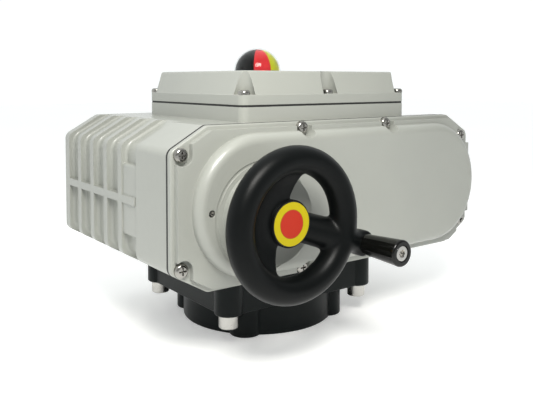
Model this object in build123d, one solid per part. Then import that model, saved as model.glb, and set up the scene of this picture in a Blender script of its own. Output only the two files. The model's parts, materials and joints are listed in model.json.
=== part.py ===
# Motorized quarter-turn valve actuator with a manual handwheel, in millimetres.
# Frame: the origin is on the valve axis, in the plane of the mounting flange. +Z points up along
# the output axis, +X runs to the right along the gear cover, and the handwheel faces -Y.
from build123d import *
from math import acos, atan2, cos, pi, radians, sin, sqrt, tan
import os

os.makedirs("parts", exist_ok=True)

# ---- driving dimensions -------------------------------------------------------------------
# Housing and gear cover, seen from the front as a bar with four chamfered corners.
body_left = -152.0
body_right = 110.0
flange_right = 215.5
body_back = 134.0
body_bottom = 62.0
body_top = 199.0
corner_width = 34.0
corner_height = 19.5
corner_round = 8.0
seam_y = -88.0
gasket_gap = 1.5
wall = 6.0

# Stadium-shaped boss on the gear cover, over the spur gears.
boss_left_x = -75.0
boss_right_x = 151.5
boss_radius = 61.0
boss_round = 8.5
cover_face = -100.0
boss_face = -109.0
lip_thickness = 5.0
gear_clearance = 48.6
chamber_radius = 57.8

# Cooling ribs on the left side.
rib_count = 5
rib_pitch = 31.8
rib_crest = 8.0
rib_first_y = 0.0
groove_depth = 5.5
groove_round = 3.0
rib_round = 1.2
pad_front_y = -33.0
pad_half_height = 32.0
pad_drop = 1.2
cross_rib_half = 3.6

# Top box, gasket and cover.
box_centre = (27.5, 5.5)
box_size = (205.0, 175.0)
box_corner = 7.5
box_wall = 10.5
neck_top = 212.2
top_gasket = 1.8
rim_top = 223.0
cover_top = 244.4
cover_draft = 8.5
top_screw_inset = 5.8
recess_radius = 10.0
recess_top_radius = 6.6
dome_radius = 24.0

# Base plate and the ISO 5211 F14 valve flange under it.
plate_bottom = 28.0
base_screw_x = 78.0
base_screw_y = 64.5
base_boss_radius = 13.0
flange_radius = 76.0
lobe_reach = 85.0
lobe_radius = 15.0
flange_pcd = 140.0
flange_bolt = 8.0
spigot_radius = 50.0
spigot_depth = 4.0

# Worm gear: module 3, one start on forty teeth.
worm_module = 3.0
wheel_teeth = 40
worm_pitch_radius = 12.0
worm_height = 121.5
wheel_width = 24.0

# Spur train, motor to worm shaft: (module, pinion teeth, gear teeth).
stage_motor = (1.5, 14, 74)
stage_middle = (2.0, 22, 50)
stage_worm = (2.0, 24, 46)
gear_face = 8.0
layer_motor = -76.5
layer_middle = -86.0
layer_worm = -95.5

# Handwheel.
wheel_plane = -151.0
wheel_rim_radius = 52.6
wheel_tube = 11.0
spoke_angle = -18.5
spoke_radius = 12.5
handle_reach = 74.0
handle_end = -200.0
hub_front = -146.0

motor_back = 85.0
running_gap = 0.05

# ---- derived values -----------------------------------------------------------------------
mid_z = (body_bottom + body_top) / 2
half_height = (body_top - body_bottom) / 2
wheel_pitch_radius = worm_module * wheel_teeth / 2
worm_x = -(wheel_pitch_radius + worm_pitch_radius)


def centre_distance(stage):
    """Distance between the two shafts of one spur stage."""
    module, pinion, gear = stage
    return module * (pinion + gear) / 2


rise = mid_z - worm_height
shaft_two_x = worm_x + sqrt(centre_distance(stage_worm) ** 2 - rise ** 2)
shaft_one_x = shaft_two_x + centre_distance(stage_middle)
motor_x = shaft_one_x + centre_distance(stage_motor)
chamber_back = -71.5
deck_low = 147.0
deck_high = 156.0
case_radius = 65.5
bay_radius = 60.0
bay_back = body_back
box_x = (box_centre[0] - box_size[0] / 2, box_centre[0] + box_size[0] / 2)
box_y = (box_centre[1] - box_size[1] / 2, box_centre[1] + box_size[1] / 2)
cover_screw_spots = [(-143.5, 46.0), (-20.0, 63.0), (86.0, 63.0), (202.0, 46.0)]
cover_screw_spots += [(x, -z) for x, z in cover_screw_spots]


# ---- helpers ------------------------------------------------------------------------------
def block(x0, x1, y0, y1, z0, z1):
    """A box between two corners."""
    size = (x1 - x0, y1 - y0, z1 - z0)
    return Pos((x0 + x1) / 2, (y0 + y1) / 2, (z0 + z1) / 2) * Box(*size)


def post(x, y, radius, z0, z1):
    """A round bar along Z."""
    return Pos(x, y, (z0 + z1) / 2) * Cylinder(radius, z1 - z0)


def rod(x, z, radius, y0, y1):
    """A round bar along Y."""
    return Pos(x, (y0 + y1) / 2, z) * Rot(90, 0, 0) * Cylinder(radius, abs(y1 - y0))


def cone_rod(x, z, radius_back, radius_front, y_back, y_front):
    """A tapered bar along Y, given from its back end to its front end."""
    centre = Pos(x, (y_back + y_front) / 2, z)
    return centre * Rot(90, 0, 0) * Cone(radius_back, radius_front, y_back - y_front)


def washer(x, y, outer, inner, z0, z1):
    """A ring around a Z axis."""
    return post(x, y, outer, z0, z1) - post(x, y, inner, z0 - 1, z1 + 1)


def collar(x, z, outer, inner, y0, y1):
    """A ring around a Y axis."""
    low, high = sorted((y0, y1))
    return rod(x, z, outer, low, high) - rod(x, z, inner, low - 1, high + 1)


def slab(sketch, y_back, y_front):
    """A front-view sketch extruded from its back plane towards the front."""
    plane = Plane(origin=(0, y_back, 0), x_dir=(1, 0, 0), z_dir=(0, -1, 0))
    return extrude(plane * sketch, y_back - y_front, dir=(0, -1, 0))


def hexagon(across_flats):
    """A hexagon sketch for nuts and sockets."""
    return RegularPolygon(across_flats / sqrt(3), 6)


def soften(shape, edges, radius):
    """Round the edges, and leave them sharp where the rounding can't be made."""
    try:
        return fillet(edges, radius)
    except Exception:
        return shape


def save(name, shape):
    """Write one sub-part."""
    export_step(shape, "parts/" + name + ".step")


# ---- housing and gear cover ---------------------------------------------------------------
def bar_outline(inset=0.0):
    """Front view of the seam: a bar with four chamfered corners, each corner rounded."""
    corners = []
    for end, side in ((body_left, 1), (flange_right, -1)):
        near = (end, half_height - corner_height)
        far = (end + side * corner_width, half_height)
        corners += [near, far] if side > 0 else [far, near]
    corners += [(x, -z) for x, z in reversed(corners)]
    outline = Polygon(*[(x, mid_z + z) for x, z in corners], align=None)
    outline = fillet(outline.vertices(), corner_round)
    if inset:
        outline = offset(outline, -inset)
    return outline


def stadium(inset=0.0):
    """Front view of the cover's boss."""
    middle = Pos((boss_left_x + boss_right_x) / 2, mid_z)
    return middle * SlotCenterToCenter(boss_right_x - boss_left_x, 2 * (boss_radius - inset))


def discs(radius):
    """Circles at the gear cover screws."""
    rounds = [Pos(x, mid_z + z) * Circle(radius) for x, z in cover_screw_spots]
    sketch = rounds[0]
    for disc in rounds[1:]:
        sketch += disc
    return sketch


def screw_bays(radius):
    """Round bays at the gear cover screws, each open towards the nearer long edge."""
    sketch = discs(radius)
    for x, z in cover_screw_spots:
        away = radius if z > 0 else -radius
        sketch += Pos(x, mid_z + z + away) * Rectangle(2 * radius, 2 * radius)
        if x > boss_right_x:
            sketch += Pos(x + radius, mid_z + z + away / 2) * Rectangle(2 * radius, 3 * radius)
    return sketch


def groove_tool(y_back, y_front):
    """The space between two ribs, its floor rounded and running out on the top and bottom."""
    floor_x = body_left + groove_depth
    fade_x = body_left + 46
    upper = [(fade_x, half_height), (floor_x, half_height - corner_height - 2.6)]
    lower = [(x, -z) for x, z in reversed(upper)]
    outside = [(fade_x, -half_height - 20), (body_left - 20, -half_height - 20)]
    outside += [(body_left - 20, half_height + 20), (fade_x, half_height + 20)]
    points = [(x, mid_z + z) for x, z in upper + lower + outside]
    section = Polygon(*points, align=None)
    turns = [v for v in section.vertices() if abs(v.X - floor_x) < 0.01]
    tool = slab(fillet(turns, 12), y_back, y_front)
    floor_edges = [e for e in tool.edges() if across(e) and e.center().X > body_left
                   and abs(e.center().Z - mid_z) < half_height - 1]
    return soften(tool, floor_edges, groove_round)


def across(edge):
    """True for an edge that keeps one Y."""
    return abs((edge @ 0).Y - (edge @ 1).Y) < 0.01


def ribbed_block():
    """The main casting block, with grooves that leave the ribs and a plain pad."""
    clip = block(body_left - 1, body_right, seam_y - 1, body_back + 1, body_bottom - 1, body_top + 1)
    shape = slab(bar_outline(), body_back, seam_y) & clip
    cross_rib = block(body_left, body_left + 40, pad_front_y + 3, body_back,
                      mid_z - cross_rib_half, mid_z + cross_rib_half)
    for index in range(rib_count - 1):
        low = rib_first_y + index * rib_pitch + rib_crest / 2
        shape -= groove_tool(low + rib_pitch - rib_crest, low)
    shape -= groove_tool(rib_first_y - rib_crest / 2, pad_front_y)
    pad = block(body_left + pad_drop, body_left + 40, pad_front_y - 1, rib_first_y,
                mid_z - pad_half_height, mid_z + pad_half_height)
    shape += soften(pad, pad.edges().filter_by(Axis.Y).group_by(Axis.X)[0], 2.5)
    shape += cross_rib
    crest_edges = [e for e in shape.edges() if e.center().X < body_left + 0.01
                   and pad_front_y - 1 < e.center().Y < body_back - 1]
    return soften(shape, crest_edges, rib_round)


def housing():
    shape = ribbed_block()
    shape += slab(bar_outline(), seam_y + 12, seam_y)
    shape += rod(motor_x, mid_z, bay_radius, seam_y + 2, bay_back)
    neck = block(*box_x, *box_y, body_top - 8, neck_top)
    shape += soften(neck, neck.edges().filter_by(Axis.Z), box_corner)
    # Gear case, open below, with the worm channel and its bearing seats.
    shape -= post(0, 0, case_radius, body_bottom - 1, deck_low)
    shape -= rod(worm_x, worm_height, 16.5, -62, 62)
    shape -= rod(worm_x, worm_height, 17.5, 58, body_back + 1)
    shape -= rod(worm_x, worm_height, 17.5, seam_y - 1, -60.5)
    # Spur chamber behind the gear cover.
    chamber = Pos((boss_left_x + shaft_one_x) / 2, mid_z) * SlotCenterToCenter(
        shaft_one_x - boss_left_x, 2 * chamber_radius)
    chamber += Pos(worm_x, worm_height) * Circle(gear_clearance)
    chamber += Pos(motor_x, mid_z) * Circle(25)
    shape -= slab(chamber, chamber_back, seam_y - 1)
    shape -= block(body_left + 21, worm_x - 26, chamber_back - 1, 105, mid_z - 42, mid_z + 42)
    # Motor bay, open at the back.
    shape -= rod(motor_x, mid_z, bay_radius - 7, -63, bay_back + 1)
    shape -= rod(motor_x, mid_z, 12, seam_y, -60)
    # Control compartment under the top box.
    shape -= block(box_x[0] + 8, 72, -63, body_back - 8, deck_high, body_top - wall)
    compartment = block(box_x[0] + box_wall, box_x[1] - box_wall, box_y[0] + box_wall,
                        box_y[1] - box_wall, body_top - wall, neck_top + 1)
    shelf = block(*box_x, box_y[0], chamber_back + 8, body_top - wall - 1, body_top)
    shape -= compartment - shelf
    shape -= post(0, 0, 24, deck_low - 1, deck_high + 1)
    shape -= post(100, 30, 7, 170, body_top)
    # Blind seats for the two spur axles.
    for x in (shaft_two_x, shaft_one_x):
        shape -= rod(x, mid_z, 6, chamber_back + 4, chamber_back - 1)
    shape -= screw_holes()
    return shape


def screw_holes():
    """Tapped holes of the housing, cut to the screws' own diameter."""
    holes = []
    for x, z in cover_screw_spots:
        holes.append(rod(x, mid_z + z, 3, seam_y + 11, seam_y - 1))
    for x, y in base_screw_places():
        holes.append(post(x, y, 6, body_bottom - 1, body_bottom + 22))
    for x, y in top_screw_places():
        holes.append(post(x, y, 3, neck_top - 12, neck_top + 1))
    for x, z in gland_places():
        holes.append(rod(x, z, 10, body_back - 9, body_back + 1))
    for x in stop_places():
        holes.append(rod(x, stop_height, 5, 40, body_back + 1))
    for x, z in end_cap_places():
        holes.append(rod(x, z, 2.5, body_back - 9, body_back + 1))
    for x, z in bay_cap_places():
        holes.append(rod(x, z, 2, bay_back - 9, bay_back + 1))
    for x, y in bracket_screw_places():
        holes.append(post(x, y, 2, deck_high - 6, deck_high + 1))
    for x, z in motor_screw_places():
        holes.append(rod(x, z, 2.5, chamber_back - 1, -55))
    holes.append(rod(*ground_place, 3, body_back - 7, body_back + 1))
    return Compound(children=[h.solid() for h in holes])


def base_screw_places():
    return [(i * base_screw_x, j * base_screw_y) for i in (-1, 1) for j in (-1, 1)]


def top_screw_places():
    """Four corners and the middles of the two long sides."""
    inset = top_screw_inset
    xs = (box_x[0] + inset, (box_x[0] + box_x[1]) / 2, box_x[1] - inset)
    return [(x, y) for x in xs for y in (box_y[0] + inset, box_y[1] - inset)]


def gland_places():
    return [(-30.0, 174.0), (25.0, 174.0)]


stop_height = 141.5
stop_arm_half = 8.0
ground_place = (-2.5, 190.0 - 12)


def stop_places():
    return (-40.0, 40.0)


def end_cap_places():
    """Three screws around the worm shaft's rear cap."""
    return [(worm_x + 22 * cos(a), worm_height + 22 * sin(a)) for a in thirds(pi / 2)]


def bay_cap_places():
    """Four screws around the motor bay's rear cap."""
    radius = bay_radius - 3.5
    return [(motor_x + radius * cos(a), mid_z + radius * sin(a)) for a in quarters()]


def motor_screw_places():
    return [(motor_x + 38 * cos(a), mid_z + 38 * sin(a)) for a in quarters()]


def bracket_screw_places():
    return [(38.0, -34.0), (38.0, 34.0)]


def thirds(start=0.0):
    return [start + index * 2 * pi / 3 for index in range(3)]


def quarters(start=pi / 4):
    return [start + index * pi / 2 for index in range(4)]


def gear_cover():
    """Front cover: a lip at the seam, a raised panel, a stadium boss and the shaft neck."""
    back = seam_y - gasket_gap
    lip = slab(bar_outline(), back, back - lip_thickness)
    shape = soften(lip, lip.faces().sort_by(Axis.Y)[0].edges(), 1.3)
    panel = slab(bar_outline(3.5) - screw_bays(8.6), back - 4, cover_face)
    shape += soften(panel, panel.faces().sort_by(Axis.Y)[0].edges(), 2.2)
    boss = slab(stadium(), back - 4, boss_face)
    boss = soften(boss, boss.faces().sort_by(Axis.Y)[0].edges(), boss_round)
    shape += boss - slab(screw_bays(8.6), back - lip_thickness, boss_face - 1)
    shape += cone_rod(worm_x, worm_height, 41, 38, boss_face + 2, -127)
    shape -= collar(worm_x, worm_height, 47.5, 45, boss_face - 5, boss_face + 0.7)
    # Inside: the spur space, the axle seats and the bore of the shaft.
    inside = stadium(wall) - discs(12.5)
    shape -= slab(inside, back + 1, boss_face + 5.2)
    shape -= rod(worm_x, worm_height, gear_clearance, back + 1, boss_face + 5.8)
    for x in (shaft_two_x, shaft_one_x):
        shape += rod(x, mid_z, 10, boss_face + 3, boss_face + 8)
        shape -= rod(x, mid_z, 6, boss_face + 2, -90)
    shape -= rod(worm_x, worm_height, 12, -90, -130)
    shape -= rod(worm_x, worm_height, 17, -90, -112)
    for x, z in cover_screw_spots:
        shape -= rod(x, mid_z + z, 3.3, back + 1, back - lip_thickness - 1)
    shape -= rod(plug_place[0], plug_place[1], 3, boss_face - 1, boss_face + 4)
    return shape


plug_place = (worm_x - 50.5, worm_height + 8)


def pan_head(shank, length, radius, height):
    """A cross-recess pan-head screw that points down, its seat at the origin."""
    head = Pos(0, 0, height / 2) * Cylinder(radius, height)
    head = soften(head, head.edges().sort_by(Axis.Z)[-1:], height * 0.6)
    body = head + Pos(0, 0, -length / 2) * Cylinder(shank, length)
    for turn in (0, 90):
        body -= Pos(0, 0, height) * Rot(0, 0, turn) * Box(radius * 1.1, radius * 0.24, height)
    return body


def cap_head(shank, length, radius, height, socket):
    """A socket-head cap screw that points down, its seat at the origin."""
    head = Pos(0, 0, height / 2) * Cylinder(radius, height)
    head = chamfer(head.edges().sort_by(Axis.Z)[-1:], height * 0.07)
    body = head + Pos(0, 0, -length / 2) * Cylinder(shank, length)
    return body - Pos(0, 0, height * 0.5) * extrude(hexagon(socket), height)


def group(shapes):
    """Several separate solids in one sub-part."""
    return Compound(children=[s.solid() if not isinstance(s, Solid) else s for s in shapes])


def facing_front(x, y, z):
    """Place a screw that points to +Y, with its head towards the front."""
    return Pos(x, y, z) * Rot(90, 0, 0)


def facing_back(x, y, z):
    """Place a screw that points to -Y, with its head towards the back."""
    return Pos(x, y, z) * Rot(-90, 0, 0)


def gear_cover_screws():
    seat = seam_y - gasket_gap - lip_thickness
    screw = pan_head(3, 14, 6, 4.4)
    return group([facing_front(x, seat, mid_z + z) * screw for x, z in cover_screw_spots])


def gear_cover_gasket():
    worm_side = Pos(worm_x, worm_height) * Circle(gear_clearance)
    sketch = bar_outline(1.3) - stadium(wall) - worm_side - discs(3.3)
    return slab(sketch, seam_y, seam_y - gasket_gap)


# ---- top box ------------------------------------------------------------------------------
def rounded_frame(radius, inset=0.0):
    """Plan view of the top box."""
    size = (box_size[0] - 2 * inset, box_size[1] - 2 * inset)
    return Pos(*box_centre) * RectangleRounded(*size, radius)


def top_cover():
    """Rim, drafted walls, screw recesses and the window opening."""
    low = neck_top + top_gasket
    crown_base = Pos(0, 0, rim_top) * rounded_frame(box_corner, 0.6)
    crown_end = Pos(0, 0, cover_top) * rounded_frame(box_corner - 1, cover_draft)
    crown = loft([crown_base.face(), crown_end.face()])
    crown = soften(crown, crown.faces().sort_by(Axis.Z)[-1].edges(), 2.6)
    rim = Pos(0, 0, low) * extrude(rounded_frame(box_corner), rim_top - low)
    rim = soften(rim, rim.faces().sort_by(Axis.Z)[-1].edges(), 0.5)
    inside = Pos(0, 0, low - 1) * extrude(rounded_frame(4, box_wall), cover_top - low - 5)
    for x, y in top_screw_places():
        inside -= post(x, y, recess_radius + 3, rim_top - 3, cover_top)
    shape = rim + crown - inside
    for x, y in top_screw_places():
        shape -= Pos(x, y, (rim_top + cover_top + 1) / 2) * Cone(
            recess_radius, recess_top_radius, cover_top + 1 - rim_top)
        shape -= post(x, y, 3.3, low - 1, rim_top + 1)
    shape -= post(0, 0, dome_radius - 4, cover_top - 9, cover_top + 1)
    shape -= post(0, 0, dome_radius + 0.1, cover_top - 2.5, cover_top + 1)
    return shape


def top_cover_gasket():
    sketch = rounded_frame(box_corner - 0.4, 0.4) - rounded_frame(4, box_wall)
    for x, y in top_screw_places():
        sketch -= Pos(x, y) * Circle(3.3)
    return Pos(0, 0, neck_top) * extrude(sketch, top_gasket)


def top_cover_screws():
    screw = pan_head(3, rim_top - neck_top + 9, 5.4, 4.2)
    return group([Pos(x, y, rim_top) * screw for x, y in top_screw_places()])


def dome_window():
    """A clear hemispherical shell that stands in the cover, with a stem down to its flange."""
    shell = Pos(0, 0, cover_top) * (Sphere(dome_radius) - Sphere(dome_radius - 2))
    shell &= post(0, 0, 40, cover_top, cover_top + 40)
    low = cover_top - 2.5
    shell += washer(0, 0, dome_radius, dome_radius - 2, low, cover_top)
    stem = washer(0, 0, dome_radius - 4, dome_radius - 6, cover_top - 8, low + 1)
    return shell + washer(0, 0, dome_radius, dome_radius - 6, low, low + 1) + stem


def dome_clamp_ring():
    """Holds the window's stem from inside the cover."""
    top = cover_top - 6.5
    return washer(0, 0, 34, dome_radius - 4, top - 3, top)


# ---- base plate ---------------------------------------------------------------------------
def lobe_sketch():
    """Round flange with a lobe on each diagonal."""
    reach = (lobe_reach - lobe_radius) / sqrt(2)
    sketch = Circle(flange_radius)
    for i in (-1, 1):
        for j in (-1, 1):
            sketch += Pos(i * reach, j * reach) * Circle(lobe_radius)
    return sketch


def plate_sketch():
    """Base plate with a round boss at each corner screw."""
    sketch = Rectangle(2 * base_screw_x + 18, 2 * base_screw_y + 18)
    for x, y in base_screw_places():
        sketch += Pos(x, y) * Circle(base_boss_radius)
    return sketch


def base_plate():
    low = extrude(lobe_sketch(), plate_bottom)
    low = soften(low, low.faces().sort_by(Axis.Z)[0].edges(), 1.2)
    plate = Pos(0, 0, plate_bottom) * extrude(plate_sketch(), body_bottom - plate_bottom)
    shape = low + soften(plate, plate.faces().sort_by(Axis.Z)[0].edges(), 1.6)
    shape += post(0, 0, case_radius - 0.05, body_bottom - 1, body_bottom + 6)
    shape += post(0, 0, 40, body_bottom, 104)
    shape -= post(0, 0, spigot_radius, -1, spigot_depth)
    shape -= post(0, 0, 31, -1, 105)
    for x, y in base_screw_places():
        shape -= post(x, y, 6.5, plate_bottom - 1, body_bottom + 1)
    reach = flange_pcd / 2 / sqrt(2)
    for i in (-1, 1):
        for j in (-1, 1):
            shape -= post(i * reach, j * reach, flange_bolt, -1, 24)
    # Pockets between the boss tower and the plate's rim keep the casting even in thickness.
    shape -= washer(0, 0, 58, 44, body_bottom - 20, body_bottom + 7)
    return shape


def base_screws():
    screw = cap_head(6, 54, 9, 12, 10)
    return group([Pos(x, y, plate_bottom) * Rot(180, 0, 0) * screw for x, y in base_screw_places()])


# ---- output shaft -------------------------------------------------------------------------
sleeve_radius = 27.0
sleeve_low = spigot_depth + 1
stem_bore = 18.0


def output_sleeve():
    """Hollow drive shaft: keyed bore below, journal and indicator seat above."""
    shape = post(0, 0, sleeve_radius, sleeve_low, 138) + post(0, 0, 20, 138, deck_high + 2)
    shape -= post(0, 0, stem_bore, sleeve_low - 1, 95)
    shape -= block(-5, 5, 0, stem_bore + 3.3, sleeve_low - 1, 95)
    shape -= post(0, 0, 6, deck_high - 14, deck_high + 3)
    shape -= key_block(0)
    return shape


def key_block(extra):
    """The key between the sleeve and the worm wheel hub."""
    return block(sleeve_radius - 4, sleeve_radius + 3.5 + extra, -7, 7, 112, 131)


def drive_key():
    return key_block(0) - post(0, 0, sleeve_radius - 4, 110, 133)


def involute_tooth(teeth, module, pressure, backlash, addendum, dedendum):
    """Half a tooth from root to tip as (radius, half angle) pairs."""
    pitch = module * teeth / 2
    base = pitch * cos(pressure)
    half_pitch = pi / (2 * teeth) - backlash / (2 * pitch)
    inv_pitch = tan(pressure) - pressure
    root = pitch - dedendum * module
    tip = pitch + addendum * module
    flank = []
    start = max(root, base)
    for step in range(5):
        radius = start + (tip - start) * step / 4
        angle = acos(min(1.0, base / radius))
        flank.append((radius, half_pitch + inv_pitch - (tan(angle) - angle)))
    if base > root:
        flank.insert(0, (root, flank[0][1]))
    return flank


def gear_outline(teeth, flank, tooth_angle):
    """All the teeth as one closed list of points around the origin."""
    points = []
    for index in range(teeth):
        middle = tooth_angle + index * 2 * pi / teeth
        points += [(r * cos(middle - a), r * sin(middle - a)) for r, a in flank]
        points += [(r * cos(middle + a), r * sin(middle + a)) for r, a in reversed(flank)]
    return points


def spur_gear(x, z, stage, wheel, tooth_angle, layer, bore):
    """A spur gear around a Y axis, with one tooth centred on an angle in the front view."""
    module, pinion_teeth, gear_teeth = stage
    teeth = gear_teeth if wheel else pinion_teeth
    flank = involute_tooth(teeth, module, radians(25), 0.16, 0.85, 1.15)
    sketch = Pos(x, z) * Polygon(*gear_outline(teeth, flank, tooth_angle), align=None)
    face = gear_face if wheel else gear_face + 0.6
    gear = slab(sketch, layer + face / 2, layer - face / 2)
    return gear - rod(x, z, bore, layer + face, layer - face)


worm_lead = pi * worm_module
wheel_tip_radius = wheel_pitch_radius + worm_module
wheel_root_radius = wheel_pitch_radius - 1.2 * worm_module
wheel_low = worm_height - wheel_width / 2
wheel_high = worm_height + wheel_width / 2


def worm_wheel_rim():
    """Bronze ring of helical teeth, a tooth space facing the worm at its middle height."""
    flank = involute_tooth(wheel_teeth, worm_module, radians(20), 0.36, 1.0, 1.2)
    twist = (worm_lead / (2 * pi) / worm_pitch_radius) / wheel_pitch_radius * wheel_width / 2
    middle = pi + pi / wheel_teeth
    low = Polygon(*gear_outline(wheel_teeth, flank, middle - twist), align=None)
    high = Polygon(*gear_outline(wheel_teeth, flank, middle + twist), align=None)
    ring = loft([(Pos(0, 0, wheel_low) * low).face(), (Pos(0, 0, wheel_high) * high).face()], ruled=True)
    ring -= post(0, 0, 49, wheel_low - 1, wheel_high + 1)
    for a in hexes():
        ring -= post(49 * cos(a), 49 * sin(a), 2.5, wheel_low - 1, wheel_high + 1)
    return ring


def hexes():
    return [index * pi / 3 + pi / 6 for index in range(6)]


def worm_wheel_hub():
    """Iron centre of the worm wheel, keyed to the sleeve, with the stop lever cast on top."""
    hub = washer(0, 0, 49, sleeve_radius, worm_height - 6, worm_height + 6)
    hub += washer(0, 0, 35, sleeve_radius, wheel_low, wheel_high)
    hub += washer(0, 0, 49, 44, wheel_low, wheel_high)
    hub += stop_lever()
    hub -= key_block(0.05)
    for a in hexes():
        hub -= post(49 * cos(a), 49 * sin(a), 2.5, wheel_low - 1, wheel_high + 1)
    return hub


def stop_lever():
    """Two arms that meet the travel stop screws at the ends of the quarter turn."""
    low, high = wheel_high, stop_height + 4.5
    lever = post(0, 0, 34, low, high)
    lever += block(-stop_arm_half, stop_arm_half, -52, 0, low + 4.5, high)
    lever += block(-52, 0, -stop_arm_half, stop_arm_half, low + 4.5, high)
    return lever - post(0, 0, sleeve_radius, low - 1, high + 1)


def wheel_pins():
    """Pins in the joint between the bronze ring and its iron centre."""
    return group([post(49 * cos(a), 49 * sin(a), 2.5, wheel_low + 1, wheel_high - 1) for a in hexes()])


def output_bush_low():
    return washer(0, 0, 31, sleeve_radius + running_gap, 14, 46)


def output_bush_high():
    return washer(0, 0, 31, sleeve_radius + running_gap, 76, 104)


def output_bush_top():
    return washer(0, 0, 24, 20 + running_gap, deck_low, deck_high)


def output_seal():
    return washer(0, 0, 31, sleeve_radius + running_gap, 8, 13)


def thrust_ring():
    """Bronze ring that the worm wheel rests on."""
    return washer(0, 0, 39, sleeve_radius + 0.6, 104.0, wheel_low - running_gap)


# ---- worm shaft ---------------------------------------------------------------------------
worm_tip = worm_pitch_radius + worm_module
worm_root = worm_pitch_radius - 1.2 * worm_module
worm_half_length = 27.0
shaft_radius = 8.5


def thread_section():
    """Cross-section of the one-start thread: tip arc, two spiral flanks and root arc."""
    slope = tan(radians(20))
    per_radian = worm_lead / (2 * pi)

    def half_angle(radius):
        return (worm_lead / 4 - 0.2 - (radius - worm_pitch_radius) * slope) / per_radian

    flank = []
    for step in range(7):
        radius = worm_tip + (worm_root - worm_tip) * step / 6
        flank.append((radius, half_angle(radius)))
    upper = [(r * cos(a), r * sin(a)) for r, a in flank]
    lower = [(r * cos(a), -r * sin(a)) for r, a in reversed(flank)]
    edges = [
        Spline(*upper),
        ThreePointArc(upper[-1], (-worm_root, 0), lower[0]),
        Spline(*lower),
        ThreePointArc(lower[-1], (worm_tip, 0), upper[0]),
    ]
    return make_face(edges)


def worm_thread():
    """The thread, with its crest on the wheel's side at the middle of the worm."""
    turns = 2 * worm_half_length / worm_lead
    start = Rot(0, 0, -turns * 180) * thread_section()
    twisted = Solid.extrude_linear_with_rotation(
        start.face(), center=(0, 0, 0), normal=(0, 0, 2 * worm_half_length), angle=turns * 360)
    return Pos(worm_x, -worm_half_length, worm_height) * Rot(-90, 0, 0) * twisted


def worm_shaft():
    """One steel shaft with the worm in its middle and the handwheel seat at its front end."""
    x, z = worm_x, worm_height
    bars = rod(x, z, shaft_radius, 68, -137) + rod(x, z, 4, -136, -144.5)
    bars += rod(x, z, 10, 58, worm_half_length)
    bars += rod(x, z, 10, -worm_half_length, -60)
    shape = bars + worm_thread()
    shape -= worm_key(layer_worm, 0)
    shape -= worm_key(-133.5, 0)
    return shape


def worm_key(middle, extra):
    """A parallel key on the worm shaft."""
    return block(worm_x - 2.5, worm_x + 2.5, middle - 3.5, middle + 3.5,
                 worm_height + shaft_radius - 3, worm_height + shaft_radius + 2.3 + extra)


def worm_shaft_keys():
    return group([worm_key(layer_worm, 0), worm_key(-133.5, 0)])


def bearing(y0, y1, bore, outer):
    """Deep-groove bearing of the worm shaft as its two rings and shield."""
    return collar(worm_x, worm_height, outer, bore, y0, y1)


def worm_bearing_front():
    return bearing(-60.5, -70.5, shaft_radius + running_gap, 17.5)


def worm_bearing_rear():
    return bearing(58.3, 68, shaft_radius + running_gap, 17.5)


def neck_bearing():
    return bearing(-112, -102, shaft_radius + running_gap, 17)


def neck_seal():
    return bearing(-119, -126, shaft_radius + running_gap, 12)


def worm_end_cap():
    """Cap over the rear bearing, held by three screws."""
    cap = rod(worm_x, worm_height, 28, body_back, body_back + 6)
    cap += collar(worm_x, worm_height, 17.45, 12, 69, body_back)
    for x, z in end_cap_places():
        cap -= rod(x, z, 2.7, body_back - 1, body_back + 7)
    return cap


def worm_end_cap_screws():
    screw = pan_head(2.5, 14, 4.6, 3.4)
    return group([facing_back(x, body_back + 6, z) * screw for x, z in end_cap_places()])


def worm_gear():
    """The spur gear on the worm shaft."""
    towards = atan2(mid_z - worm_height, shaft_two_x - worm_x)
    gear = spur_gear(worm_x, worm_height, stage_worm, True, towards, layer_worm, shaft_radius)
    gear -= worm_key(layer_worm, 0)
    return gear - lightening(worm_x, worm_height, 28, 9, layer_worm)


def lightening(x, z, radius, hole, layer):
    """Six round holes through a gear's web."""
    holes = [rod(x + radius * cos(a), z + radius * sin(a), hole, layer + 9, layer - 9) for a in hexes()]
    return Compound(children=[h.solid() for h in holes])


def gear_two():
    """Second intermediate gear, turning on its axle."""
    back = atan2(worm_height - mid_z, worm_x - shaft_two_x)
    step = pi / stage_worm[1]
    bore = 7 + running_gap
    shape = spur_gear(shaft_two_x, mid_z, stage_middle, True, pi / stage_middle[2], layer_middle, bore)
    shape += spur_gear(shaft_two_x, mid_z, stage_worm, False, back + step, layer_worm, bore)
    shape += collar(shaft_two_x, mid_z, 14, bore, layer_middle - 3.9, layer_worm + 4.2)
    shape += collar(shaft_two_x, mid_z, 14, bore, layer_motor + 3, layer_middle + 3.9)
    return shape - lightening(shaft_two_x, mid_z, 33, 8, layer_middle + 9)


def gear_one():
    """First intermediate gear, driven by the motor pinion."""
    bore = 7 + running_gap
    shape = spur_gear(shaft_one_x, mid_z, stage_motor, True, pi / stage_motor[2], layer_motor, bore)
    shape += spur_gear(shaft_one_x, mid_z, stage_middle, False, pi, layer_middle, bore)
    shape += collar(shaft_one_x, mid_z, 14, bore, layer_motor - 3.9, layer_middle + 4.2)
    return shape - lightening(shaft_one_x, mid_z, 36, 9, layer_motor + 9.0 - 4)


def gear_axles():
    """Fixed axles of the two intermediate gears, held by the housing and the cover."""
    bars = []
    for x in (shaft_two_x, shaft_one_x):
        bar = rod(x, mid_z, 7, chamber_back, boss_face + 8)
        bar += rod(x, mid_z, 6, chamber_back + 3.8, boss_face + 2.2)
        bars.append(bar)
    return group(bars)


# ---- motor --------------------------------------------------------------------------------
def motor_stator():
    return collar(motor_x, mid_z, 50, 30, -45, motor_back)


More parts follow.
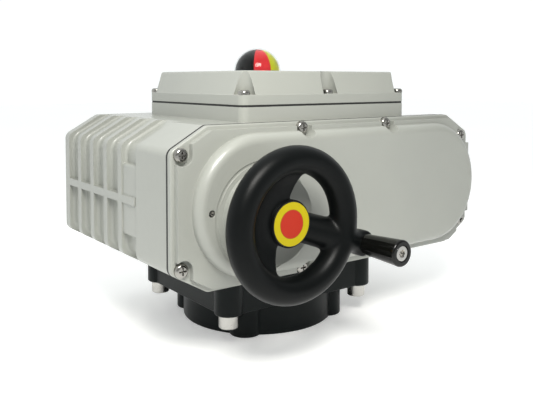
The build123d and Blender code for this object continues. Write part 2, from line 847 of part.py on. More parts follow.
def motor_front_bell():
    bell = rod(motor_x, mid_z, 50, -45, -57) - rod(motor_x, mid_z, 46, -44, -52)
    bell += rod(motor_x, mid_z, 11.9, -56, -66)
    bell -= rod(motor_x, mid_z, 6 + running_gap, -40, -70)
    for x, z in motor_screw_places():
        bell += rod(x, z, 6, -45, -63)
        bell -= rod(x, z, 2.5, -30, -64)
        bell -= rod(x, z, 4.3, -44, -50)
    return bell


def motor_rear_bell():
    low = motor_back
    bell = rod(motor_x, mid_z, 50, low, low + 12) - rod(motor_x, mid_z, 44, low - 1, low + 7)
    bell += rod(motor_x, mid_z, 12, low + 6, low + 17)
    return bell - rod(motor_x, mid_z, 6 + running_gap, low - 5, low + 15)


def motor_screws():
    screw = cap_head(2.5, 22, 4.25, 5, 4)
    return group([facing_back(x, -50, z) * screw for x, z in motor_screw_places()])


def motor_shaft():
    """Rotor shaft with the pinion cut on its front end."""
    module, pinion_teeth, _ = stage_motor
    shape = rod(motor_x, mid_z, 6, motor_back + 13, layer_motor - 4.3)
    return shape + spur_gear(motor_x, mid_z, stage_motor, False, pi, layer_motor, 5)


def motor_rotor():
    return collar(motor_x, mid_z, 29.4, 6, -42, motor_back - 3)


def motor_bay_cap():
    cap = rod(motor_x, mid_z, bay_radius, bay_back, bay_back + 5)
    cap += collar(motor_x, mid_z, bay_radius - 7.2, bay_radius - 12, bay_back - 4, bay_back)
    for x, z in bay_cap_places():
        cap -= rod(x, z, 2.2, bay_back - 1, bay_back + 6)
    return cap


def motor_bay_cap_screws():
    screw = pan_head(2, 12, 3.4, 2.6)
    return group([facing_back(x, bay_back + 5, z) * screw for x, z in bay_cap_places()])


# ---- handwheel ----------------------------------------------------------------------------
spoke_dir = (cos(radians(spoke_angle)), sin(radians(spoke_angle)))
handle_x = worm_x + handle_reach * spoke_dir[0]
handle_z = worm_height + handle_reach * spoke_dir[1]


def on_wheel(shape):
    """Turn a piece from wheel coordinates, spoke along local X, to its place on the shaft."""
    return Pos(worm_x, 0, worm_height) * Rot(0, -spoke_angle, 0) * shape


def handwheel():
    """Round rim, dished web on one half, one thick spoke on the other, and the handle lug."""
    rim = Pos(0, wheel_plane, 0) * Rot(90, 0, 0) * Torus(wheel_rim_radius, wheel_tube)
    web_section = [(0, hub_front + 4), (46, wheel_plane + 4), (46, wheel_plane + 10), (0, hub_front + 10)]
    web = revolve(Polygon(*web_section, align=None), Axis.Y)
    web -= block(-4.6, 60, -170, -120, -60, 60)
    hub = rod(0, 0, 20.5, hub_front, -129)
    spoke = Pos(27, wheel_plane + 3, 0) * Rot(0, 90, 0) * Cylinder(spoke_radius, 50)
    spoke &= rod(0, 0, wheel_rim_radius, -120, hub_front)
    lug = rod(handle_reach, 0, 11, wheel_plane - 8, wheel_plane + 7)
    lug += block(wheel_rim_radius, handle_reach, wheel_plane - 7, wheel_plane + 6, -11, 11)
    shape = rim + web + hub + spoke + lug
    shape -= rod(0, 0, shaft_radius, -120, -137)
    shape -= rod(0, 0, 4.2, -136, -147)
    shape -= rod(0, 0, 15, hub_front + 5, hub_front - 1)
    shape -= rod(handle_reach, 0, 4, wheel_plane - 9, wheel_plane + 8)
    return on_wheel(shape) - worm_key(-133.5, 0)


def hub_nut():
    """Nut that holds the handwheel on the shaft's threaded nose."""
    nut = slab(Pos(worm_x, worm_height) * hexagon(13), hub_front + 5, hub_front + 0.2)
    return nut - rod(worm_x, worm_height, 4, -130, -150)


def hub_cap():
    """Flat printed disc that closes the hub."""
    return rod(worm_x, worm_height, 18.3, hub_front, hub_front - 1)


def handle_grip():
    """Tapered revolving grip, wider at its free end."""
    start = wheel_plane - 8.4
    grip = cone_rod(handle_x, handle_z, 8.6, 11, start, handle_end)
    grip = soften(grip, grip.edges().filter_by(GeomType.CIRCLE), 1.8)
    grip -= rod(handle_x, handle_z, 4 + running_gap, start + 1, handle_end - 1)
    return grip - rod(handle_x, handle_z, 6.8, handle_end + 7, handle_end - 1)


def handle_bolt():
    """Shoulder screw on which the grip turns."""
    bolt = facing_front(handle_x, handle_end + 7 - 0.1 , handle_z) * cap_head(4, 49.4, 6.4, 6.4, 6)
    return bolt


def handle_nut():
    back = wheel_plane + 7
    nut = slab(Pos(handle_x, handle_z) * hexagon(13), back + 5, back)
    return nut - rod(handle_x, handle_z, 4, back + 6, back - 1)


# ---- indicator and switches ---------------------------------------------------------------
def indicator_shaft():
    return post(0, 0, 6, deck_high - 14, cover_top - 2)


def indicator_drum():
    """Coloured position marker under the window."""
    dome = Pos(0, 0, cover_top) * Sphere(dome_radius - 3.4)
    drum = dome & post(0, 0, 30, cover_top - 1, cover_top + 30)
    drum += post(0, 0, dome_radius - 7, cover_top - 6, cover_top)
    return drum - post(0, 0, 6, cover_top - 7, cover_top - 2)


def cam(low, angle):
    """Switch cam: a disc with one lobe."""
    disc = washer(0, 0, 15, 6, low, low + 6)
    lobe = Rot(0, 0, angle) * block(0, 19, -4, 4, low, low + 6)
    return disc + (lobe - post(0, 0, 6, low - 1, low + 7))


def cam_closed():
    return cam(168, -45)


def cam_open():
    return cam(178, -135)


def switch_bracket():
    """Angle bracket for the two limit switches."""
    foot = block(28, 46, -42, 42, deck_high, deck_high + 3)
    for x, y in bracket_screw_places():
        foot -= post(x, y, 2.2, deck_high - 1, deck_high + 4)
    return foot + block(43, 46, -24, 24, deck_high, 190)


def limit_switches():
    """Two snap-action switches, one level with each cam."""
    return group([block(26, 43, -14, 14, low, low + 7) for low in (167.5, 177.5)])


def control_board():
    return block(-58, 58, 56, 118, 168, 169.6)


def terminal_blocks():
    """Two rows of wire terminals on the board."""
    rows = []
    for x in (-26.0, 26.0):
        row = block(x - 22, x + 22, 92, 104, 169.6, 182)
        for index in range(6):
            row -= block(x - 20 + index * 7, x - 15.5 + index * 7, 101, 105, 172, 178)
        rows.append(row)
    return group(rows)


# ---- outside fittings ---------------------------------------------------------------------
def cable_glands():
    """Two brass cable glands on the back wall."""
    glands = []
    for x, z in gland_places():
        gland = rod(x, z, 10, body_back, body_back - 14)
        gland += slab(Pos(x, z) * hexagon(24), body_back + 6, body_back)
        gland += rod(x, z, 11, body_back + 12, body_back + 6)
        gland += slab(Pos(x, z) * hexagon(22), body_back + 22, body_back + 12)
        gland -= rod(x, z, 5, body_back + 23, body_back - 15)
        glands.append(gland)
    return group(glands)


def stop_screws():
    """Two adjusting screws that end the quarter turn."""
    screws = []
    tip = stop_arm_half + 0.15
    for x in stop_places():
        screw = rod(x, stop_height, 5, tip, body_back + 22)
        socket = slab(Pos(x, stop_height) * hexagon(5), body_back + 23, body_back + 16)
        screws.append(screw - socket)
    return group(screws)


def stop_nuts():
    return group([slab(Pos(x, stop_height) * hexagon(17), body_back + 8, body_back)
                  - rod(x, stop_height, 5, body_back + 9, body_back - 1) for x in stop_places()])


def ground_screw():
    x, z = ground_place
    return facing_back(x, body_back, z) * pan_head(3, 7, 6, 4.4)


def cover_plug():
    """Small set screw that closes the test hole beside the neck."""
    x, z = plug_place
    plug = rod(x, z, 3, boss_face + 0.6, boss_face + 4)
    return plug - slab(Pos(x, z) * hexagon(2.5), boss_face + 3, boss_face)


makers = [
    housing, gear_cover, gear_cover_gasket, gear_cover_screws, top_cover, top_cover_gasket,
    top_cover_screws, dome_window, dome_clamp_ring, cover_plug, base_plate, base_screws,
    output_sleeve, drive_key, worm_wheel_rim, worm_wheel_hub, wheel_pins, output_bush_low,
    output_bush_high, output_bush_top, output_seal, thrust_ring, worm_shaft, worm_shaft_keys,
    worm_bearing_front, worm_bearing_rear, neck_bearing, neck_seal, worm_end_cap,
    worm_end_cap_screws, worm_gear, gear_two, gear_one, gear_axles, motor_stator,
    motor_front_bell, motor_rear_bell, motor_screws, motor_shaft, motor_rotor,
    motor_bay_cap, motor_bay_cap_screws, handwheel, hub_nut, hub_cap, handle_grip, handle_bolt,
    handle_nut, indicator_shaft, indicator_drum, cam_closed, cam_open, switch_bracket,
    limit_switches, control_board, terminal_blocks, cable_glands, stop_screws, stop_nuts,
    ground_screw,
]

for make in makers:
    save(make.__name__, make())
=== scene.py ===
"""Studio picture of a motorized quarter-turn valve actuator with a manual handwheel.

Metres, in the CAD frame: the origin is on the valve axis in the mounting face, +Z is up, +X runs
right along the gear cover, and the handwheel faces -Y.
"""
import json
import math

import bmesh
import bpy
from mathutils import Matrix, Vector


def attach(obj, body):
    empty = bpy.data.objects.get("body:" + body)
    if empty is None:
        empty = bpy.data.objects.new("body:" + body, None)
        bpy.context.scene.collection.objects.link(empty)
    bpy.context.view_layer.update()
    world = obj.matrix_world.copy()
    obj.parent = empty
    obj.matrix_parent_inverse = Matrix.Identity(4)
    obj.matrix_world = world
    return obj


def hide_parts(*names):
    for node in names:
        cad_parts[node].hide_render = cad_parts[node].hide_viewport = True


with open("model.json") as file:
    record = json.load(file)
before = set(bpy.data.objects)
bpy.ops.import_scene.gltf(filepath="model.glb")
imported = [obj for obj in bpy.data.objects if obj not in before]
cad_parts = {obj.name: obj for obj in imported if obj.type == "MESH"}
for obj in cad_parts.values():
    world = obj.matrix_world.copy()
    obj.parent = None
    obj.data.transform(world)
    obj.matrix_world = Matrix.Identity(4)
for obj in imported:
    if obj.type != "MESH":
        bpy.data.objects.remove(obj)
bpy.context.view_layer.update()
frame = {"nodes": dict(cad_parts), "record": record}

# Driving sizes of the handwheel and the coloured parts, in metres and degrees.
worm_x = -0.072
worm_z = 0.1215
wheel_plane = -0.151
wheel_rim = 0.0526
wheel_tube = 0.011
web_edge = -0.0046
grip_reach = 0.074
spoke_turn = -18.5
sector_start = 134.7
dome_base = 0.2444

# The outline of the gear cover's seam.
body_left = -0.152
flange_right = 0.2155
body_low = 0.062
body_high = 0.199
corner_width = 0.034
corner_height = 0.0195
corner_round = 0.008
seam_y = -0.088
seam_gap = 0.0015


# ---- node helpers -------------------------------------------------------------------------
class Shader:
    """A material's node tree, with short calls to add and link nodes."""

    def __init__(self, name):
        self.material = bpy.data.materials.new(name)
        self.material.use_nodes = True
        self.nodes = self.material.node_tree.nodes
        self.links = self.material.node_tree.links
        self.surface = self.nodes["Principled BSDF"]
        self.position = self.add("ShaderNodeTexCoord").outputs["Object"]

    def add(self, kind, **values):
        node = self.nodes.new(kind)
        for key, value in values.items():
            setattr(node, key, value)
        return node

    def link(self, source, target):
        self.links.new(source, target)

    def set(self, **values):
        """Constant values, straight on the surface's own sockets."""
        for key, value in values.items():
            self.surface.inputs[key.replace("_", " ")].default_value = value

    def noise(self, scale, detail=3.0, roughness=0.5, stretch=None):
        node = self.add("ShaderNodeTexNoise")
        node.inputs["Scale"].default_value = scale
        node.inputs["Detail"].default_value = detail
        node.inputs["Roughness"].default_value = roughness
        source = self.position
        if stretch:
            mapping = self.add("ShaderNodeMapping")
            mapping.inputs["Scale"].default_value = stretch
            self.link(source, mapping.inputs["Vector"])
            source = mapping.outputs["Vector"]
        self.link(source, node.inputs["Vector"])
        return node.outputs["Fac"]

    def axes(self):
        """The X, Y and Z of the surface point, in the object's own coordinates."""
        node = self.add("ShaderNodeSeparateXYZ")
        self.link(self.position, node.inputs["Vector"])
        return node.outputs["X"], node.outputs["Y"], node.outputs["Z"]

    def math(self, operation, *values):
        """One Math node; each value is a number or another node's output."""
        node = self.add("ShaderNodeMath", operation=operation)
        for socket, value in zip(node.inputs, values):
            if isinstance(value, bpy.types.NodeSocket):
                self.link(value, socket)
            else:
                socket.default_value = value
        return node.outputs["Value"]

    def ramp(self, factor, *stops, steps=False):
        node = self.add("ShaderNodeValToRGB")
        ramp = node.color_ramp
        if steps:
            ramp.interpolation = "CONSTANT"
        while len(ramp.elements) < len(stops):
            ramp.elements.new(0.5)
        for element, (place, colour) in zip(ramp.elements, stops):
            element.position = place
            element.color = (*colour, 1.0) if len(colour) == 3 else colour
        self.link(factor, node.inputs["Fac"])
        return node.outputs["Color"]

    def span(self, factor, low, high):
        """Map 0..1 to a range."""
        node = self.add("ShaderNodeMapRange")
        node.inputs["To Min"].default_value = low
        node.inputs["To Max"].default_value = high
        self.link(factor, node.inputs["Value"])
        return node.outputs["Result"]

    def mix(self, factor, first, second):
        node = self.add("ShaderNodeMix", data_type="RGBA")
        factor_socket, first_socket, second_socket = node.inputs["Factor"], node.inputs[6], node.inputs[7]
        for socket, value in ((factor_socket, factor), (first_socket, first), (second_socket, second)):
            if isinstance(value, bpy.types.NodeSocket):
                self.link(value, socket)
            else:
                socket.default_value = value if isinstance(value, float) else (*value, 1.0)
        return node.outputs[2]

    def bump(self, height, distance, strength=1.0, bevel=0.0):
        node = self.add("ShaderNodeBump")
        node.inputs["Strength"].default_value = strength
        node.inputs["Distance"].default_value = distance
        self.link(height, node.inputs["Height"])
        if bevel:
            edge = self.add("ShaderNodeBevel", samples=6)
            edge.inputs["Radius"].default_value = bevel
            self.link(edge.outputs["Normal"], node.inputs["Normal"])
        self.link(node.outputs["Normal"], self.surface.inputs["Normal"])


# ---- materials ----------------------------------------------------------------------------
def powder_coat():
    """Light grey powder coat: fine orange peel, slight tone drift, faint sheen."""
    s = Shader("powder_coat")
    tone = s.noise(9.0, 4.0)
    fine = s.noise(60.0, 2.0)
    base = s.ramp(tone, (0.3, (0.306, 0.315, 0.287)), (0.7, (0.330, 0.338, 0.306)))
    colour = s.mix(s.span(fine, 0.0, 0.25), base, (0.296, 0.304, 0.278))
    s.link(colour, s.surface.inputs["Base Color"])
    s.link(s.span(s.noise(120.0), 0.36, 0.46), s.surface.inputs["Roughness"])
    s.set(Coat_Weight=0.35, Coat_Roughness=0.16)
    s.bump(s.noise(900.0, 2.0), 0.00006, 0.35, bevel=0.0008)
    return s.material


def black_anodised():
    """Satin black anodised aluminium, with fine turning marks and a bluish cast."""
    s = Shader("black_anodised")
    tone = s.noise(14.0, 3.0)
    s.link(s.ramp(tone, (0.3, (0.0045, 0.0065, 0.0065)), (0.7, (0.008, 0.0105, 0.0105))),
           s.surface.inputs["Base Color"])
    s.link(s.span(s.noise(60.0, 4.0, stretch=(1, 1, 12)), 0.26, 0.4), s.surface.inputs["Roughness"])
    s.set(Specular_IOR_Level=0.1)
    s.bump(s.noise(500.0, 2.0, stretch=(1, 1, 4)), 0.00004, 0.3, bevel=0.0008)
    return s.material


def moulded_black(name, roughness, colour, coat=0.0, grain=0.4, specular=0.08):
    """Black moulded plastic with a fine grain."""
    s = Shader(name)
    low = tuple(c * 0.75 for c in colour)
    s.link(s.ramp(s.noise(18.0), (0.3, low), (0.7, colour)), s.surface.inputs["Base Color"])
    s.link(s.span(s.noise(45.0, 4.0), roughness - 0.05, roughness + 0.06), s.surface.inputs["Roughness"])
    s.set(Coat_Weight=coat, Coat_Roughness=0.08, Specular_IOR_Level=specular)
    s.bump(s.noise(700.0, 2.0), 0.00005, grain, bevel=0.0006)
    return s.material


def metal(name, colour, roughness, stretch=(1, 1, 1), scale=90.0, bevel=0.0004):
    """Machined metal with fine marks."""
    s = Shader(name)
    darker = tuple(c * 0.82 for c in colour)
    s.link(s.ramp(s.noise(25.0), (0.3, darker), (0.7, colour)), s.surface.inputs["Base Color"])
    s.link(s.span(s.noise(scale, 5.0, stretch=stretch), roughness - 0.07, roughness + 0.1),
           s.surface.inputs["Roughness"])
    s.set(Metallic=1.0)
    s.bump(s.noise(scale * 6, 2.0, stretch=stretch), 0.00003, 0.25, bevel=bevel)
    return s.material


def plain(name, colour, roughness, variation=0.1, grain=400.0, depth=0.00004):
    """Moulded or rubber surface with slight tone changes and a fine grain."""
    s = Shader(name)
    low = tuple(c * (1 - variation) for c in colour)
    s.link(s.ramp(s.noise(30.0), (0.3, low), (0.7, colour)), s.surface.inputs["Base Color"])
    s.link(s.span(s.noise(70.0), roughness - 0.06, roughness + 0.06), s.surface.inputs["Roughness"])
    s.bump(s.noise(grain), depth, 0.4)
    return s.material


def clear_plastic():
    s = Shader("clear_polycarbonate")
    s.set(Base_Color=(0.97, 0.98, 0.98, 1.0), IOR=1.27, Transmission_Weight=1.0)
    s.link(s.span(s.noise(80.0), 0.01, 0.05), s.surface.inputs["Roughness"])
    return s.material


def indicator_sectors():
    """Red, yellow and black sectors around the output axis, twice in a turn."""
    s = Shader("indicator_sectors")
    x, y, _ = s.axes()
    angle = s.math("ARCTAN2", y, x)
    turns = s.math("FRACT", s.math("MULTIPLY_ADD", angle, 1 / math.pi, sector_start / 180))
    colour = s.ramp(turns, (0.0, (0.60, 0.030, 0.036)), (0.25, (0.56, 0.57, 0.022)),
                    (0.5, (0.004, 0.004, 0.0035)), steps=True)
    shade = s.mix(s.span(s.noise(40.0), 0.0, 0.05), colour, (0.05, 0.05, 0.05))
    s.link(shade, s.surface.inputs["Base Color"])
    s.set(Roughness=0.4, Specular_IOR_Level=0.0)
    return s.material


def hub_label():
    """Red centre, yellow ring and black rim around the worm shaft's axis."""
    s = Shader("hub_label")
    x, _, z = s.axes()
    across = s.math("SUBTRACT", x, worm_x)
    up = s.math("SUBTRACT", z, worm_z)
    squares = s.math("ADD", s.math("MULTIPLY", across, across), s.math("MULTIPLY", up, up))
    radius = s.math("MULTIPLY", s.math("SQRT", squares), 50.0)
    colour = s.ramp(radius, (0.0, (0.40, 0.024, 0.010)), (11.3 / 20, (0.25, 0.1, 0.01)),
                    (11.7 / 20, (0.44, 0.36, 0.003)), (17.6 / 20, (0.015, 0.015, 0.012)), steps=True)
    worn = s.mix(s.span(s.noise(90.0), 0.0, 0.04), colour, (0.1, 0.1, 0.1))
    s.link(worn, s.surface.inputs["Base Color"])
    s.set(Roughness=0.3, Specular_IOR_Level=0.15)
    return s.material


# ---- handwheel ----------------------------------------------------------------------------
def lathe(section, steps=96):
    """Vertices and faces of an open section (radius, depth) turned about the wheel's axis."""
    points = []
    faces = []
    rows = len(section)
    for step in range(steps):
        turn = 2 * math.pi * step / steps
        for radius, depth in section:
            points.append((radius * math.cos(turn), depth, radius * math.sin(turn)))
    for step in range(steps):
        here = step * rows
        there = (step + 1) % steps * rows
        for row in range(rows):
            onward = (row + 1) % rows
            faces.append((here + row, here + onward, there + onward, there + row))
    return points, faces


def ring_section(radius, depth, tube, steps=32):
    """A round section at a radius, for a torus."""
    turns = [2 * math.pi * k / steps for k in range(steps)]
    return [(radius + tube * math.cos(t), depth + tube * math.sin(t)) for t in turns]


def tube_along(start, end, radii, steps=32, cuts=12):
    """A round bar between two points, its radius varying along it, closed at both ends."""
    start, end = Vector(start), Vector(end)
    way = (end - start).normalized()
    side = way.orthogonal().normalized()
    other = way.cross(side)
    points = []
    faces = []
    for cut in range(cuts + 1):
        share = cut / cuts
        radius = radii[0] + (radii[1] - radii[0]) * share
        middle = start + (end - start) * share
        for step in range(steps):
            turn = 2 * math.pi * step / steps
            around = side * math.cos(turn) + other * math.sin(turn)
            points.append(tuple(middle + around * radius))
    for cut in range(cuts):
        for step in range(steps):
            onward = (step + 1) % steps
            faces.append((cut * steps + step, cut * steps + onward,
                          (cut + 1) * steps + onward, (cut + 1) * steps + step))
    faces.append(tuple(reversed(range(steps))))
    faces.append(tuple(cuts * steps + step for step in range(steps)))
    return points, faces


def half_web(steps=48):
    """Dished plate that fills the wheel on one side of a straight edge."""
    front = [(0.0, -0.1430), (0.022, -0.1440), (0.030, -0.1462), (0.038, -0.1505), (0.047, -0.1580)]
    back = [(radius, depth + 0.0075) for radius, depth in reversed(front)]
    section = front + back
    points = []
    faces = []
    rows = len(section)
    for step in range(steps + 1):
        turn = math.pi / 2 + math.pi * step / steps
        for radius, depth in section:
            points.append((radius * math.cos(turn) + web_edge, depth, radius * math.sin(turn)))
    for step in range(steps):
        for row in range(rows):
            onward = (row + 1) % rows
            here, there = step * rows, (step + 1) * rows
            faces.append((here + row, here + onward, there + onward, there + row))
    faces.append(tuple(range(rows)))
    faces.append(tuple(steps * rows + row for row in reversed(range(rows))))
    return points, faces


def mesh_of(name, *parts):
    """One mesh object from lists of vertices and faces, in the wheel's own coordinates."""
    points = []
    faces = []
    for part_points, part_faces in parts:
        start = len(points)
        points += part_points
        faces += [tuple(start + index for index in face) for face in part_faces]
    mesh = bpy.data.meshes.new(name)
    mesh.from_pydata(points, [], faces)
    obj = bpy.data.objects.new(name, mesh)
    bpy.context.scene.collection.objects.link(obj)
    fix = bmesh.new()
    fix.from_mesh(mesh)
    bmesh.ops.recalc_face_normals(fix, faces=fix.faces)
    fix.to_mesh(mesh)
    fix.free()
    return obj


def apply_modifiers(obj):
    depsgraph = bpy.context.evaluated_depsgraph_get()
    baked = bpy.data.meshes.new_from_object(obj.evaluated_get(depsgraph))
    obj.modifiers.clear()
    obj.data = baked


def wheel(material):
    """Cast handwheel: rim, web, spoke and lug run into one another with soft fillets."""
    spoke_end = (wheel_rim, wheel_plane + 0.0035, 0)
    cast = mesh_of(
        "handwheel_cast",
        lathe(ring_section(wheel_rim, wheel_plane, wheel_tube)),
        half_web(),
        tube_along((0.006, -0.1262, 0), spoke_end, (0.0126, 0.0138)),
        tube_along((0, -0.143, 0), (0, -0.130, 0), (0.0190, 0.0190)),
        lathe(ring_section(wheel_rim - 0.002, wheel_plane + 0.002, 0.0096)),
        tube_along((wheel_rim, wheel_plane, 0), (grip_reach, wheel_plane, 0), (0.0122, 0.0098)),
        tube_along((grip_reach, wheel_plane - 0.0078, 0), (grip_reach, wheel_plane + 0.0068, 0),
                   (0.0112, 0.0112)),
    )
    remesh = cast.modifiers.new("remesh", "REMESH")
    remesh.mode = "VOXEL"
    remesh.voxel_size = 0.0011
    soften = cast.modifiers.new("soften", "SMOOTH")
    soften.factor = 0.6
    soften.iterations = 24
    apply_modifiers(cast)
    hub = [(0.0005, -0.1459), (0.0190, -0.1459), (0.0194, -0.1454), (0.0194, -0.1292), (0.0188, -0.1288),
           (0.0005, -0.1288)]
    crisp = mesh_of("handwheel_hub", lathe(hub, 128))
    parts = [cast, crisp]
    joined = bmesh.new()
    for obj in parts:
        joined.from_mesh(obj.data)
    for face in joined.faces:
        face.smooth = True
    turn = Matrix.Rotation(math.radians(-spoke_turn), 4, "Y")
    bmesh.ops.transform(joined, matrix=Matrix.Translation((worm_x, 0, worm_z)) @ turn, verts=joined.verts)
    mesh = bpy.data.meshes.new("handwheel_casting")
    joined.to_mesh(mesh)
    joined.free()
    for obj in parts:
        bpy.data.objects.remove(obj)
    piece = bpy.data.objects.new("handwheel_casting", mesh)
    bpy.context.scene.collection.objects.link(piece)
    mesh.set_sharp_from_angle(angle=math.radians(40))
    mesh.materials.append(material)
    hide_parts("handwheel")
    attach(piece, "worm")


def indicator(material):
    """Coloured dome under the window, drawn as large as it looks through the clear shell."""
    radius = 0.0227
    section = [(0.0003, dome_base - 0.006), (radius - 0.005, dome_base - 0.006), (radius - 0.005, dome_base)]
    section += [(radius, dome_base)]
    turns = [math.pi / 2 * k / 24 for k in range(1, 24)]
    section += [(radius * math.cos(t), dome_base + radius * math.sin(t)) for t in turns]
    section += [(0.0003, dome_base + radius)]
    points, faces = lathe(section, 128)
    upright = [(x, z, height) for x, height, z in points]
    piece = mesh_of("indicator_dome", (upright, faces))
    for face in piece.data.polygons:
        face.use_smooth = True
    piece.data.set_sharp_from_angle(angle=math.radians(40))
    piece.data.materials.append(material)
    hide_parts("indicator_drum")
    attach(piece, "output")


def window(material):
    """Thin clear shell over the coloured dome, with its flange and stem in the cover."""
    outer, inner, stem = 0.024, 0.0231, 0.0185
    low = dome_base - 0.0025
    turns = [math.pi / 2 * k / 28 for k in range(28)]
    section = [(inner, low), (outer, low)]
    section += [(outer * math.cos(t), dome_base + outer * math.sin(t)) for t in turns]
    section += [(0.0002, dome_base + outer), (0.0002, dome_base + inner)]
    section += [(inner * math.cos(t), dome_base + inner * math.sin(t)) for t in reversed(turns)]
    flange = [(stem, low), (outer, low), (outer, low + 0.0009), (stem, low + 0.0009)]
    tube = [(stem, low - 0.0055), (stem + 0.0014, low - 0.0055), (stem + 0.0014, low), (stem, low)]
    parts = []
    for outline in (section, flange, tube):
        points, faces = lathe(outline, 128)
        parts.append(([(x, z, height) for x, height, z in points], faces))
    piece = mesh_of("dome_shell", *parts)
    for face in piece.data.polygons:
        face.use_smooth = True
    piece.data.set_sharp_from_angle(angle=math.radians(40))
    piece.data.materials.append(material)
    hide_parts("dome_window")
    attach(piece, "frame")


def seam_path(inset):
    """The bar's outline seen from the front: chamfered corners, each turn rounded by an arc."""
    middle = (body_low + body_high) / 2
    half = (body_high - body_low) / 2
    low = half - corner_height
    corners = [(body_left, -low), (body_left, low), (body_left + corner_width, half),
               (flange_right - corner_width, half), (flange_right, low), (flange_right, -low),
               (flange_right - corner_width, -half), (body_left + corner_width, -half)]
    path = []
    for index, corner in enumerate(corners):
        corner = Vector(corner)
        before = (Vector(corners[index - 1]) - corner).normalized()
        after = (Vector(corners[(index + 1) % len(corners)]) - corner).normalized()
        half_angle = before.angle(after) / 2
        centre = corner + (before + after).normalized() * (corner_round / math.sin(half_angle))
        first = corner + before * (corner_round / math.tan(half_angle)) - centre
        last = corner + after * (corner_round / math.tan(half_angle)) - centre
        for step in range(7):
            spoke = first.lerp(last, step / 6).normalized() * (corner_round - inset)
            path.append((centre.x + spoke.x, centre.y + spoke.y + middle))
    return path


def cover_seam(material):
    """Edge of the gasket, squeezed out a hair past the two castings all the way round."""
    outer = seam_path(-0.0002)
    inner = seam_path(0.003)
    count = len(outer)
    points = []
    for depth in (seam_y + 0.0003, seam_y - seam_gap - 0.0003):
        points += [(x, depth, z) for x, z in outer]
        points += [(x, depth, z) for x, z in inner]
    faces = []
    for index in range(count):
        onward = (index + 1) % count
        outer_back, inner_back, outer_front, inner_front = (k * count for k in range(4))
        faces.append((outer_back + index, outer_back + onward, outer_front + onward, outer_front + index))
        faces.append((inner_back + index, inner_front + index, inner_front + onward, inner_back + onward))
        faces.append((outer_back + index, inner_back + index, inner_back + onward, outer_back + onward))
        faces.append((outer_front + index, outer_front + onward, inner_front + onward, inner_front + index))
    piece = mesh_of("gear_cover_seam", (points, faces))
    piece.data.materials.append(material)
    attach(piece, "frame")


def main():
    paint = powder_coat()
    black_metal = black_anodised()
    wheel_black = moulded_black("wheel_black", 0.36, (0.0032, 0.0040, 0.0041), specular=0.12)
    grip_black = moulded_black("grip_black", 0.14, (0.004, 0.0042, 0.0036), coat=0.5, grain=0.1)
    stainless = metal("stainless_steel", (0.52, 0.51, 0.485), 0.24, (1, 1, 6))
    screw_steel = metal("pan_screw_steel", (0.36, 0.35, 0.325), 0.2, bevel=0.0003)
    steel = metal("machined_steel", (0.5, 0.5, 0.5), 0.3)
    bronze = metal("bronze", (0.66, 0.42, 0.18), 0.3)
    nickel = metal("nickel_brass", (0.66, 0.63, 0.55), 0.25)
    iron = metal("cast_iron", (0.16, 0.16, 0.165), 0.5)
    rubber = plain("rubber", (0.012, 0.012, 0.012), 0.6)
    board = plain("board_green", (0.01, 0.12, 0.05), 0.35)
    switch = plain("switch_black", (0.03, 0.03, 0.033), 0.45)
    grey_plastic = plain("terminal_grey", (0.3, 0.34, 0.36), 0.45)
    by_slot = {
        "body_paint": paint, "gasket_rubber": rubber, "stainless": stainless, "clear_window": clear_plastic(),
        "clamp_aluminium": steel, "black_anodised": black_metal, "machined_steel": steel,
        "bronze": bronze, "nickel_brass": nickel, "grey_iron": iron, "laminated_steel": iron,
        "black_plastic": wheel_black, "gloss_black": grip_black, "label_yellow": hub_label(),
        "indicator_colours": indicator_sectors(), "switch_plastic": switch, "board_green": board,
        "terminal_grey": grey_plastic,
    }
    slots = {row["node"]: row["material_slot"] for row in frame["record"]["subparts"]}
    for name, node in frame["nodes"].items():
        for place in node.material_slots:
            place.material = by_slot[slots[name]]
            if name in ("gear_cover_screws", "top_cover_screws"):
                place.material = screw_steel
    wheel(wheel_black)
    indicator(indicator_sectors())
    window(by_slot["clear_window"])
    cover_seam(rubber)


def camera():
    """At the height of the top cover, left of the front, with the frame below eye level."""
    data = bpy.data.cameras.new("camera")
    data.sensor_width = 36
    data.lens = 46.12
    data.shift_y = -0.169
    data.clip_end = 20
    view = bpy.data.objects.new("camera", data)
    view.location = (-0.4078, -0.5669, 0.2358)
    view.rotation_euler = (math.radians(90 - 2.5), 0, math.radians(-36.5))
    bpy.context.scene.collection.objects.link(view)
    bpy.context.scene.camera = view


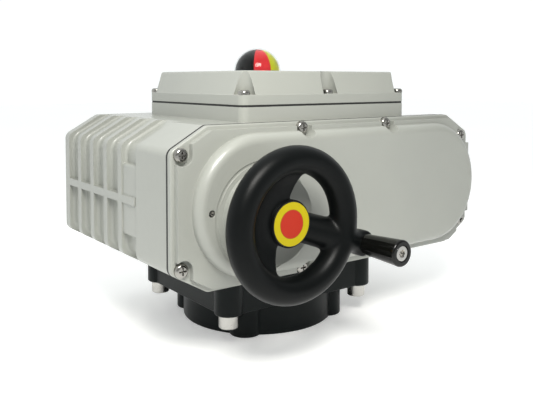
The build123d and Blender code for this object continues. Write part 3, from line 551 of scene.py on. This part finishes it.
def floor():
    mesh = bpy.data.meshes.new("floor")
    size = 6.0
    corners = [(-size, -size, 0), (size, -size, 0), (size, size, 0), (-size, size, 0)]
    mesh.from_pydata(corners, [], [(0, 1, 2, 3)])
    obj = bpy.data.objects.new("floor", mesh)
    bpy.context.scene.collection.objects.link(obj)
    s = Shader("floor_white")
    tone = s.ramp(s.noise(2.0), (0.3, (0.93, 0.93, 0.925)), (0.7, (0.95, 0.95, 0.945)))
    s.link(tone, s.surface.inputs["Base Color"])
    s.set(Roughness=0.6, Emission_Color=(1, 1, 1, 1), Emission_Strength=0.3, Specular_IOR_Level=0.0)
    mesh.materials.append(s.material)


def area(name, place, target, size, power, colour=(1, 1, 1)):
    data = bpy.data.lights.new(name, "AREA")
    data.shape = "RECTANGLE"
    data.size, data.size_y = size
    data.energy = power
    data.color = colour
    lamp = bpy.data.objects.new(name, data)
    lamp.location = place
    aim = Vector(target) - Vector(place)
    lamp.rotation_euler = aim.to_track_quat("-Z", "Y").to_euler()
    bpy.context.scene.collection.objects.link(lamp)
    return lamp


def lights():
    world = bpy.data.worlds.new("studio")
    world.use_nodes = True
    nodes = world.node_tree.nodes
    links = world.node_tree.links
    split = nodes.new("ShaderNodeSeparateXYZ")
    links.new(nodes.new("ShaderNodeTexCoord").outputs["Generated"], split.inputs["Vector"])
    fall = nodes.new("ShaderNodeMapRange")
    links.new(split.outputs["Y"], fall.inputs["Value"])
    for socket, value in (("From Min", -0.6), ("From Max", 0.25), ("To Min", 0.32), ("To Max", 1.04)):
        fall.inputs[socket].default_value = value
    links.new(fall.outputs["Result"], nodes["Background"].inputs["Strength"])
    nodes["Background"].inputs["Color"].default_value = (0.97, 1.0, 1.0, 1)
    bpy.context.scene.world = world
    bpy.context.scene.view_settings.view_transform = "Standard"
    key = area("key", (-0.3, -0.5, 0.62), (-0.07, -0.1, 0.21), (0.3, 0.25), 1.4, (1.0, 0.985, 0.94))
    key.data.spread = math.radians(80)
    area("top", (0.1, 0.1, 1.8), (0, 0, 0.1), (1.4, 1.4), 1.5)


main()
camera()
floor()
lights()
